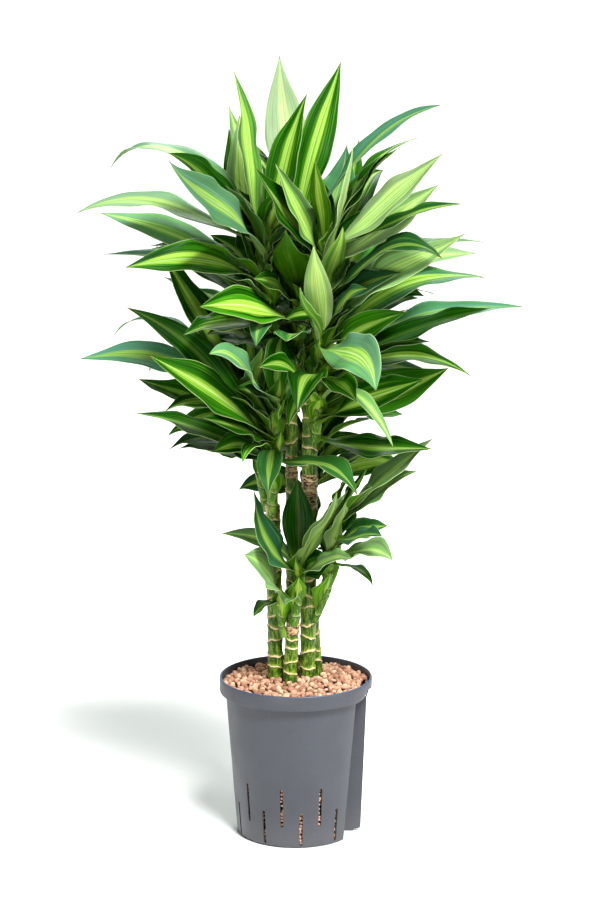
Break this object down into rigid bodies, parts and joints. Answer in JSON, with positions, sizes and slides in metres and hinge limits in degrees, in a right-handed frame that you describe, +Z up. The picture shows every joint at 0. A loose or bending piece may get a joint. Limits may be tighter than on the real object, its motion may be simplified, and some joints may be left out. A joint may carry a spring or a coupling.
{
  "type": "potted dracaena",
  "caption": "Striped broad-leaved house plant on ringed canes, in clay granules in a slotted grey culture pot with a gauge recess.",
  "frame": {"origin": "centre of the pot's flat underside", "axes": "+Z up along the pot and canes, -Y towards the front of the plant as pictured, +X to the right as seen from the front"},
  "size_m": [0.513, 0.4352, 0.909],
  "materials": {
    "pot": "grey moulded plastic, slightly bluish, satin",
    "clay": "fired clay granules, rough and dusty",
    "cane": "green bark with pale scar rings",
    "leaf": "glossy leaves with a yellow-green middle band and pale margins"
  },
  "bodies": {
    "root": {"pot": "pot", "clay_granules": "clay", "cane_left": "cane", "cane_short": "cane", "cane_middle": "cane", "cane_tall": "cane", "cane_back": "cane", "shoot_left": "leaf", "shoot_right": "leaf", "shoot_crown_left": "leaf", "shoot_crown_right": "leaf", "shoot_crown_centre": "leaf", "shoot_left_back": "leaf", "shoot_low_front": "leaf", "shoot_low_left": "leaf", "shoot_low_right": "leaf", "shoot_back": "leaf"}
  },
  "joints": []
}
